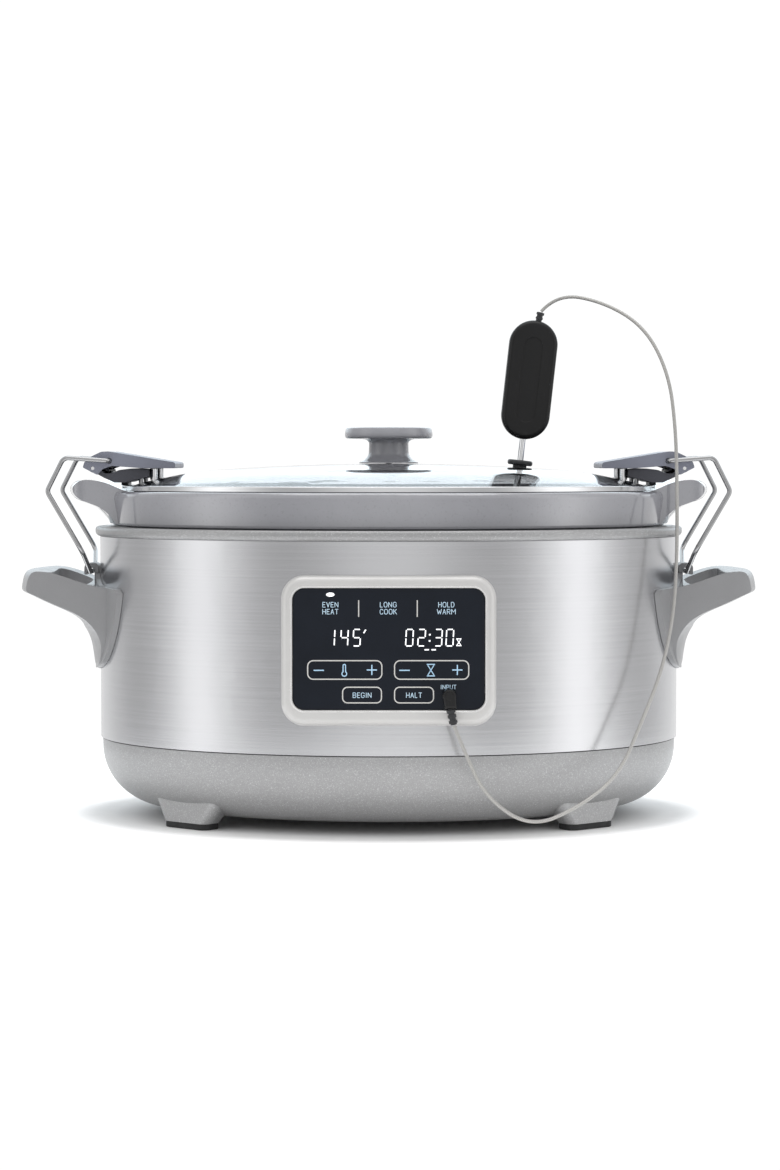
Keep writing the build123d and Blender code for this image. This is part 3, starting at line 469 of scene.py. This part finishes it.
def make_cord():
    pts, total = even(route_points(ROUTE), 0.00034)
    frames = []
    u = Vector((0, 1, 0))
    for i, p in enumerate(pts):
        t = (pts[min(i + 1, len(pts) - 1)] - pts[max(i - 1, 0)]).normalized()
        u = (u - t * u.dot(t)).normalized()
        frames.append((u.copy(), t.cross(u)))

    def near(c):
        c = Vector(c)
        return min(range(len(pts)), key=lambda i: (pts[i] - c).length)

    cuts = [0, near((0.1790, -0.0573, 0.2469)), near((0.1782, -0.0700, 0.1540)),
            near((0.1143, -0.1342, 0.0190)), len(pts) - 1]
    names = ["cord_top", "cord_upper", "cord_side", "cord_foot"]
    made = []
    for k in range(4):
        i0, i1 = cuts[k], cuts[k + 1]
        ob = braided(names[k], pts, frames, i0, i1, CORD_D / 2)
        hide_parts("probe_cord")
        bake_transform(ob)
        made.append(ob)
    return made


make_cord()


# ------------------------------------------------------------------ panel artwork
M["art_led"] = lit("art_led", (0.95, 0.96, 0.98), 0.60)
M["art_white"] = lit("art_white", (0.52, 0.68, 0.80), 0.22)
M["art_blue"] = lit("art_blue", (0.38, 0.58, 0.76), 0.20)
M["art_grey"] = lit("art_grey", (0.56, 0.55, 0.53), 0.12)

GLASS_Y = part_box("control_glass")[0][1]
PX = 0.645 * (1807.0 - 146.0) / 1807.0


def px(x, y):
    """From the panel drawing's own grid to metres across and up."""
    return ((x + 2.0 - 388.7) * PX * MM, (227.0 - (y - 460.0) * PX) * MM)


def from_curve(name, cu, mat, lift=0.00004):
    cu.dimensions = "2D" if cu.__class__.__name__ == "Curve" else cu.dimensions
    cu.fill_mode = "BOTH"
    cu.extrude = 0.00003
    tmp = bpy.data.objects.new("tmp", cu)
    SCENE.collection.objects.link(tmp)
    dg = bpy.context.evaluated_depsgraph_get()
    me = bpy.data.meshes.new_from_object(tmp.evaluated_get(dg))
    bpy.data.objects.remove(tmp)
    bpy.data.curves.remove(cu)
    me.name = name
    return me


def place(me, ox, oz, lift=0.00005):
    """Stands a flat drawing up in front of the glass."""
    rot = Matrix(((1, 0, 0, ox), (0, 0, -1, GLASS_Y - lift), (0, 1, 0, oz), (0, 0, 0, 1)))
    me.transform(rot)


def outline(cu, pts):
    sp = cu.splines.new("POLY")
    sp.points.add(len(pts) - 1)
    for p, c in zip(sp.points, pts):
        p.co = (c[0], c[1], 0.0, 1.0)
    sp.use_cyclic_u = True


def rounded(x0, y0, x1, y1, r, n=10):
    out = []
    for cx, cy, a0 in ((x1 - r, y1 - r, 0), (x0 + r, y1 - r, 90), (x0 + r, y0 + r, 180), (x1 - r, y0 + r, 270)):
        for i in range(n + 1):
            a = math.radians(a0 + 90 * i / n)
            out.append((cx + r * math.cos(a), cy + r * math.sin(a)))
    return out


def art(name, shapes, mat):
    """shapes are closed outlines in metres; one outline inside another is a hole."""
    cu = bpy.data.curves.new(name, "CURVE")
    cu.dimensions = "2D"
    for s in shapes:
        outline(cu, s)
    me = from_curve(name, cu, mat)
    place(me, 0, 0)
    me.materials.clear()
    me.materials.append(M[mat])
    ob = bpy.data.objects.new(name, me)
    SCENE.collection.objects.link(ob)
    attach(ob, "housing")
    return ob


ROUND = [(.25, 0, .75, 0), (1, .25, 1, .75), (.75, 1, .25, 1), (0, .75, 0, .25), (.75, 0, 1, .25), (1, .75, .75, 1),
         (.25, 1, 0, .75), (0, .25, .25, 0)]
HOOK = [(1, .2, .75, 0), (.75, 0, .25, 0), (.25, 0, 0, .25), (0, .25, 0, .75), (0, .75, .25, 1), (.25, 1, .75, 1),
        (.75, 1, 1, .8)]
LETTERS = {
    "E": [(0, 0, 0, 1), (0, 0, 1, 0), (0, .5, .85, .5), (0, 1, 1, 1)],
    "V": [(0, 0, .5, 1), (.5, 1, 1, 0)],
    "N": [(0, 1, 0, 0), (0, 0, 1, 1), (1, 1, 1, 0)],
    "H": [(0, 0, 0, 1), (1, 0, 1, 1), (0, .5, 1, .5)],
    "A": [(0, 1, .5, 0), (.5, 0, 1, 1), (.2, .66, .8, .66)],
    "T": [(0, 0, 1, 0), (.5, 0, .5, 1)],
    "L": [(0, 0, 0, 1), (0, 1, .9, 1)],
    "O": ROUND,
    "G": HOOK + [(1, .8, 1, .55), (1, .55, .6, .55)],
    "C": HOOK,
    "K": [(0, 0, 0, 1), (.95, 0, 0, .6), (.35, .4, 1, 1)],
    "D": [(0, 0, 0, 1), (0, 0, .65, 0), (.65, 0, 1, .3), (1, .3, 1, .7), (1, .7, .65, 1), (.65, 1, 0, 1)],
    "W": [(0, 0, .25, 1), (.25, 1, .5, .3), (.5, .3, .75, 1), (.75, 1, 1, 0)],
    "R": [(0, 0, 0, 1), (0, 0, .8, 0), (.8, 0, 1, .15), (1, .15, 1, .38), (1, .38, .8, .52), (.8, .52, 0, .52),
          (.5, .52, 1, 1)],
    "M": [(0, 1, 0, 0), (0, 0, .5, .6), (.5, .6, 1, 0), (1, 0, 1, 1)],
    "B": [(0, 0, 0, 1), (0, 0, .75, 0), (.75, 0, .95, .12), (.95, .12, .95, .36), (.95, .36, .75, .48), (.75, .48, 0, .48),
          (.75, .48, 1, .62), (1, .62, 1, .86), (1, .86, .75, 1), (.75, 1, 0, 1)],
    "I": [(.5, 0, .5, 1)],
    "P": [(0, 0, 0, 1), (0, 0, .8, 0), (.8, 0, 1, .15), (1, .15, 1, .4), (1, .4, .8, .55), (.8, .55, 0, .55)],
    "U": [(0, 0, 0, .75), (0, .75, .25, 1), (.25, 1, .75, 1), (.75, 1, 1, .75), (1, .75, 1, 0)],
}
WIDE = {"I": 0.25, "M": 1.35, "W": 1.45, "N": 1.1, "O": 1.1, "G": 1.1, "E": 0.85, "L": 0.8}


def strokes(name, segs, w, mat):
    """Fine printed strokes, each a thin flat bar with square ends, a hair proud of the glass."""
    verts, faces = [], []
    for x0, y0, x1, y1 in segs:
        L = max(1e-6, math.hypot(x1 - x0, y1 - y0))
        ex, ey = (x1 - x0) / L * w * 0.35, (y1 - y0) / L * w * 0.35
        quad = bar(x0 - ex, y0 - ey, x1 + ex, y1 + ey, w)
        n = len(verts)
        for y in (GLASS_Y - 0.00009, GLASS_Y - 0.00001):
            verts += [(X, y, Z) for X, Z in quad]
        faces += [(n, n + 1, n + 2, n + 3), (n + 7, n + 6, n + 5, n + 4)]
        faces += [(n + k, n + 4 + k, n + 4 + (k + 1) % 4, n + (k + 1) % 4) for k in range(4)]
    me = bpy.data.meshes.new(name)
    me.from_pydata(verts, [], faces)
    bm = bmesh.new()
    bm.from_mesh(me)
    bmesh.ops.recalc_face_normals(bm, faces=bm.faces)
    bm.to_mesh(me)
    bm.free()
    me.materials.append(M[mat])
    ob = bpy.data.objects.new(name, me)
    SCENE.collection.objects.link(ob)
    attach(ob, "housing")
    return ob


def words(name, text, x, y, high, mat, pitch=7.0, wide=2.9, gap=1.45, w=0.58):
    """Short generic words in a thin stroke alphabet, centred on x, y."""
    lines = text.split("\n")
    segs = []
    for r, line in enumerate(lines):
        top = y + (r - (len(lines) - 1) / 2) * pitch - high / 2
        widths = [wide * WIDE.get(c, 1.0) for c in line]
        cx = x - (sum(widths) + gap * (len(line) - 1)) / 2
        for c, cw in zip(line, widths):
            for x0, y0, x1, y1 in LETTERS[c]:
                segs.append((cx + x0 * cw, top + y0 * high, cx + x1 * cw, top + y1 * high))
            cx += cw + gap
    return strokes(name, segs, w, mat)


def pill(x0, y0, x1, y1, r, w=0.9):
    ax, az = px(x0, y1)
    bx, bz = px(x1, y0)
    k = PX * MM
    return [rounded(ax, az, bx, bz, r * k), rounded(ax + w * k, az + w * k, bx - w * k, bz - w * k, max(0.2, r - w) * k)]


def bar(x0, y0, x1, y1, w):
    """A straight stroke of width w between two grid points."""
    (ax, az), (bx, bz) = px(x0, y0), px(x1, y1)
    dx, dz = bx - ax, bz - az
    L = math.hypot(dx, dz)
    nx, nz = -dz / L * w * PX * MM / 2, dx / L * w * PX * MM / 2
    return [(ax + nx, az + nz), (bx + nx, bz + nz), (bx - nx, bz - nz), (ax - nx, az - nz)]


def ellipse(x, y, rx, ry, n=28):
    X, Z = px(x, y)
    k = PX * MM
    return [(X + rx * k * math.cos(2 * math.pi * i / n), Z + ry * k * math.sin(2 * math.pi * i / n)) for i in range(n)]


SEG = {"0": "abcdef", "1": "bc", "2": "abged", "3": "abgcd", "4": "fgbc", "5": "afgcd", "6": "afgedc",
       "7": "abc", "8": "abcdefg", "9": "abcdfg"}


def digit(ch, x, y, w, h, t):
    """Seven-segment strokes, upright with a slight lean, top left at x, y on the grid."""
    g = t * 0.62
    lean = 0.05
    P = {
        "a": ((x + g + t / 2, y + t / 2), (x + w - g - t / 2, y + t / 2)),
        "g": ((x + g + t / 2, y + h / 2), (x + w - g - t / 2, y + h / 2)),
        "d": ((x + g + t / 2, y + h - t / 2), (x + w - g - t / 2, y + h - t / 2)),
        "f": ((x + t / 2, y + g + t / 2), (x + t / 2, y + h / 2 - g)),
        "b": ((x + w - t / 2, y + g + t / 2), (x + w - t / 2, y + h / 2 - g)),
        "e": ((x + t / 2, y + h / 2 + g), (x + t / 2, y + h - g - t / 2)),
        "c": ((x + w - t / 2, y + h / 2 + g), (x + w - t / 2, y + h - g - t / 2)),
    }
    out = []
    for s in SEG[ch]:
        (x0, y0), (x1, y1) = P[s]
        x0 += (y + h - y0) * lean
        x1 += (y + h - y1) * lean
        out.append(bar(x0, y0, x1, y1, t))
    return out


def hourglass(name, x, y, w, h, t, mat):
    """Two caps and two crossing strokes with the sides drawn in."""
    art(name + "_caps", [bar(x - w / 2, y - h / 2, x + w / 2, y - h / 2, t), bar(x - w / 2, y + h / 2, x + w / 2, y + h / 2, t)], mat)
    art(name + "_down", [bar(x - w * 0.38, y - h * 0.43, x + w * 0.38, y + h * 0.43, t * 0.9)], mat)
    art(name + "_up", [bar(x - w * 0.38, y + h * 0.43, x + w * 0.38, y - h * 0.43, t * 0.9)], mat)


def thermometer(x, y0, y1):
    """A rounded stem that opens into a bulb, with a hollow bore."""
    def shape(r, rb, top):
        k, yb = PX * MM, y1 - 2.9
        cx, cz = px(x, yb)
        tz = px(x, top)[1]
        a0 = math.asin(min(0.95, r / rb))
        out = []
        for i in range(25):
            a = math.pi / 2 + a0 + (2 * math.pi - 2 * a0) * i / 24
            out.append((cx + rb * k * math.cos(a), cz + rb * k * math.sin(a)))
        for i in range(11):
            a = math.pi * i / 10
            out.append((cx + r * k * math.cos(a), tz - r * k + r * k * math.sin(a)))
        return out
    return [shape(1.75, 2.9, y0), shape(0.75, 1.9, y0 + 1.1)]


def panel():
    art("panel_led", [ellipse(328.2, 594.4, 4.2, 2.1)], "art_led")
    art("panel_rules", [bar(356.6, 600, 356.6, 616.7, 1.1), bar(415.3, 600, 415.3, 616.7, 1.1)], "art_grey")
    words("label_mode_a", "EVEN\nHEAT", 328.3, 608.0, 4.8, "art_white")
    words("label_mode_b", "LONG\nCOOK", 386.3, 608.0, 4.8, "art_white")
    words("label_mode_c", "HOLD\nWARM", 444.4, 608.0, 4.8, "art_white")
    y0, w, h, t = 628.7, 8.2, 17.8, 1.2
    d = []
    for ch, x in (("1", 324.4), ("4", 337.8), ("5", 350.2)):
        d += digit(ch, x, y0, w, h, t)
    art("digits_left", d, "art_led")
    art("degree_mark", [bar(363.8, 629.6, 361.6, 633.0, 1.3)], "art_led")
    d = []
    for ch, x in (("0", 403.0), ("2", 415.2), ("3", 432.0), ("0", 443.4)):
        d += digit(ch, x, y0, w, h, t)
    d += [bar(427.9, 633.8, 427.9, 635.4, 1.7), bar(427.7, 640.0, 427.7, 641.6, 1.7)]
    art("digits_right", d, "art_led")
    hourglass("small_hourglass", 457.0, 642.2, 5.2, 6.8, 0.9, "art_led")
    art("small_marks", [bar(422.6, 649.7, 427.0, 649.7, 1.3), bar(429.6, 649.7, 434.0, 649.7, 1.3)], "art_led")
    art("pill_temp", pill(304.9, 660.1, 380.4, 679.9, 6.2, 1.15), "art_grey")
    art("pill_time", pill(392.0, 660.1, 467.5, 679.9, 6.2, 1.15), "art_grey")
    art("pill_begin", pill(339.9, 686.8, 380.0, 703.7, 5.6, 1.15), "art_grey")
    art("pill_halt", pill(392.0, 686.8, 432.2, 703.7, 5.6, 1.15), "art_grey")
    art("minus_signs", [bar(311.4, 670.4, 321.8, 670.4, 1.15), bar(397.3, 670.4, 407.8, 670.4, 1.15)], "art_blue")
    for nm, x, y in (("plus_temp", 369.8, 670.0), ("plus_time", 455.5, 670.0)):
        k, u, w2 = PX * MM, 5.1, 0.58
        X, Z = px(x, y)
        arms = [(-u, -w2), (-w2, -w2), (-w2, -u), (w2, -u), (w2, -w2), (u, -w2), (u, w2), (w2, w2), (w2, u),
                (-w2, u), (-w2, w2), (-u, w2)]
        art(nm, [[(X + a * k, Z + b * k) for a, b in arms]], "art_blue")
    art("thermometer", thermometer(342.2, 663.9, 676.8), "art_blue")
    hourglass("large_hourglass", 429.0, 670.2, 8.2, 11.6, 1.0, "art_blue")
    words("label_begin", "BEGIN", 360.0, 695.4, 4.8, "art_white")
    words("label_halt", "HALT", 412.1, 695.4, 4.8, "art_white")
    words("label_input", "INPUT", 446.6, 687.2, 3.9, "art_white", wide=2.4, gap=1.2, w=0.55)


panel()


def bezel_trim():
    """The thin bright step between the bezel and the glass."""
    lo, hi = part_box("control_glass")
    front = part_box("control_bezel")[0][1]
    cu = bpy.data.curves.new("bezel_trim", "CURVE")
    cu.dimensions = "2D"
    for g, r in ((0.00125, 0.0082), (0.00045, 0.0074)):
        outline(cu, rounded(lo[0] - g, lo[2] - g, hi[0] + g, hi[2] + g, r, 14))
    cu.bevel_depth = 0.00012
    cu.bevel_resolution = 2
    cu.fill_mode = "BOTH"
    cu.extrude = 0.00015
    tmp = bpy.data.objects.new("tmp", cu)
    SCENE.collection.objects.link(tmp)
    me = bpy.data.meshes.new_from_object(tmp.evaluated_get(bpy.context.evaluated_depsgraph_get()))
    bpy.data.objects.remove(tmp)
    bpy.data.curves.remove(cu)
    me.name = "bezel_trim"
    me.transform(Matrix(((1, 0, 0, 0), (0, 0, -1, front + 0.00012), (0, 1, 0, 0), (0, 0, 0, 1))))
    me.materials.clear()
    me.materials.append(M["trim_bright"])
    ob = bpy.data.objects.new("bezel_trim", me)
    SCENE.collection.objects.link(ob)
    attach(ob, "housing")


bezel_trim()


def oval_ring(name, profile, mat, body, n=220):
    """A closed oval ring swept round the body; profile is (long half axis, height) pairs, anticlockwise."""
    k = 140.0 / 185.5
    verts, faces = [], []
    for i in range(n):
        a = 2 * math.pi * i / n
        for r, z in profile:
            verts.append((r * math.cos(a) * MM, r * k * math.sin(a) * MM, z * MM))
    m = len(profile)
    for i in range(n):
        j = (i + 1) % n
        for q in range(m):
            p = (q + 1) % m
            faces.append((i * m + q, j * m + q, j * m + p, i * m + p))
    me = bpy.data.meshes.new(name)
    me.from_pydata(verts, [], faces)
    bm = bmesh.new()
    bm.from_mesh(me)
    bmesh.ops.recalc_face_normals(bm, faces=bm.faces)
    bm.to_mesh(me)
    bm.free()
    for poly in me.polygons:
        poly.use_smooth = True
    me.materials.append(M[mat])
    ob = bpy.data.objects.new(name, me)
    SCENE.collection.objects.link(ob)
    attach(ob, body)
    return ob


seam_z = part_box("outer_band")[0][2] / MM
seam = oval_ring("seam_gasket", [(183.9, seam_z - 0.72), (184.75, seam_z - 0.62), (184.95, seam_z - 0.35),
                                 (184.9, seam_z - 0.06), (184.0, seam_z - 0.03)], "black_rubber", "housing")


# ------------------------------------------------------------------ floor, sky and light
def floor():
    me = bpy.data.meshes.new("floor")
    ring = [(0.52 * math.cos(2 * math.pi * i / 96), 0.52 * math.sin(2 * math.pi * i / 96), 0.0) for i in range(96)]
    me.from_pydata(ring, [], [tuple(range(96))])
    ob = bpy.data.objects.new("floor", me)
    SCENE.collection.objects.link(ob)
    k = Mat("floor_paper")
    n = k.noise((60, 60, 60), 3)
    k.colour(k.ramp(n, [(0.3, (0.86, 0.86, 0.86)), (0.7, (0.89, 0.89, 0.89))]))
    k.roughness(k.rng(n, 0.8, 0.9))
    # Painted shadow: the floor glows white only outside an oval round the base's footprint, so it is painted darker
    # under and just around the base.
    mp = k.coords((1 / 0.1855, 1 / 0.140, 0))
    ln = k.n("ShaderNodeVectorMath", operation="LENGTH")
    k.link(mp, ln.inputs[0])
    g = k.n("ShaderNodeMapRange", interpolation_type="SMOOTHSTEP")
    k.link(ln.outputs["Value"], g.inputs[0])
    g.inputs[1].default_value = 0.99
    g.inputs[2].default_value = 1.16
    g.inputs[3].default_value = 0.0
    g.inputs[4].default_value = 0.42
    k.link(g.outputs[0], k.b.inputs["Emission Strength"])
    k.b.inputs["Emission Color"].default_value = (1, 1, 1, 1)
    k.set(Specular_IOR_Level=0.1)
    me.materials.append(k.m)


def sky():
    w = bpy.data.worlds.new("studio")
    SCENE.world = w
    w.use_nodes = True
    nt = w.node_tree
    nt.nodes.clear()
    N, L = nt.nodes.new, nt.links.new
    out, bg = N("ShaderNodeOutputWorld"), N("ShaderNodeBackground")
    L(bg.outputs[0], out.inputs[0])
    tc, sep = N("ShaderNodeTexCoord"), N("ShaderNodeSeparateXYZ")
    L(tc.outputs["Generated"], sep.inputs[0])

    def math_(op, a, b=None, clamp=False):
        t = N("ShaderNodeMath")
        t.operation = op
        t.use_clamp = clamp
        for i, v in enumerate((a, b)):
            if v is None:
                continue
            if isinstance(v, (int, float)):
                t.inputs[i].default_value = v
            else:
                L(v, t.inputs[i])
        return t.outputs[0]

    x, y, z = sep.outputs
    flat = math_("SQRT", math_("ADD", math_("MULTIPLY", x, x), math_("ADD", math_("MULTIPLY", y, y), 1e-5)))
    az = math_("DIVIDE", math_("ARCCOSINE", math_("DIVIDE", math_("MULTIPLY", y, -1.0), flat)), math.pi)
    ramp = N("ShaderNodeValToRGB")
    stops = [(0, .88), (9, .86), (18, .72), (28, .54), (38, .53), (48, .80), (57, 1.32), (65, 1.72), (73, 1.36),
             (84, .78), (98, .56), (112, .62), (130, .88), (150, 1.0), (180, 1.0)]
    els = ramp.color_ramp.elements
    while len(els) < len(stops):
        els.new(0.5)
    for e, (p, v) in zip(els, stops):
        e.position = p / 180.0
        e.color = (v / 3, v / 3, v / 3, 1)
    ramp.color_ramp.interpolation = "B_SPLINE"
    L(az, ramp.inputs[0])
    up = N("ShaderNodeMapRange")
    up.interpolation_type = "SMOOTHSTEP"
    L(z, up.inputs[0])
    up.inputs[1].default_value = 0.35
    up.inputs[2].default_value = 0.80
    side = math_("MULTIPLY", ramp.outputs[0], 3.0)
    mixed = math_("ADD", math_("MULTIPLY", side, math_("SUBTRACT", 1.0, up.outputs[0])), math_("MULTIPLY", up.outputs[0], 1.0))
    back = N("ShaderNodeMapRange")
    back.interpolation_type = "SMOOTHSTEP"
    L(y, back.inputs[0])
    back.inputs[1].default_value = 0.35
    back.inputs[2].default_value = 0.75
    lift = N("ShaderNodeMapRange")
    lift.interpolation_type = "SMOOTHSTEP"
    L(z, lift.inputs[0])
    lift.inputs[1].default_value = 0.05
    lift.inputs[2].default_value = 0.16
    mixed = math_("ADD", mixed, math_("MULTIPLY", math_("MULTIPLY", back.outputs[0], lift.outputs[0]), 0.85))
    lean = math_("ADD", 1.0, math_("MULTIPLY", x, 0.05))
    lit_side = math_("MULTIPLY", mixed, lean)
    lp = N("ShaderNodeLightPath")
    cam = lp.outputs["Is Camera Ray"]
    s = math_("ADD", math_("MULTIPLY", lit_side, math_("SUBTRACT", 1.0, cam)), math_("MULTIPLY", cam, 1.05))
    L(s, bg.inputs["Strength"])
    tint = N("ShaderNodeMix")
    tint.data_type = "RGBA"
    L(math_("MULTIPLY", math_("MULTIPLY", back.outputs[0], lift.outputs[0]), math_("SUBTRACT", 1.0, cam)), tint.inputs[0])
    tint.inputs[6].default_value = (1, 1, 1, 1)
    tint.inputs[7].default_value = (0.84, 0.94, 1.0, 1)
    L(tint.outputs[2], bg.inputs["Color"])


def lamp(name, loc, aim, size, size_y, watts):
    d = bpy.data.lights.new(name, "AREA")
    d.shape = "RECTANGLE"
    d.size, d.size_y, d.energy = size, size_y, watts
    o = bpy.data.objects.new(name, d)
    o.location = loc
    o.rotation_euler = (Vector(aim) - Vector(loc)).to_track_quat("-Z", "Y").to_euler()
    SCENE.collection.objects.link(o)
    return o


floor()
sky()
lamp("top_box", (0.0, -0.3, 1.9), (0, 0, 0.1), 1.6, 1.2, 9.0)
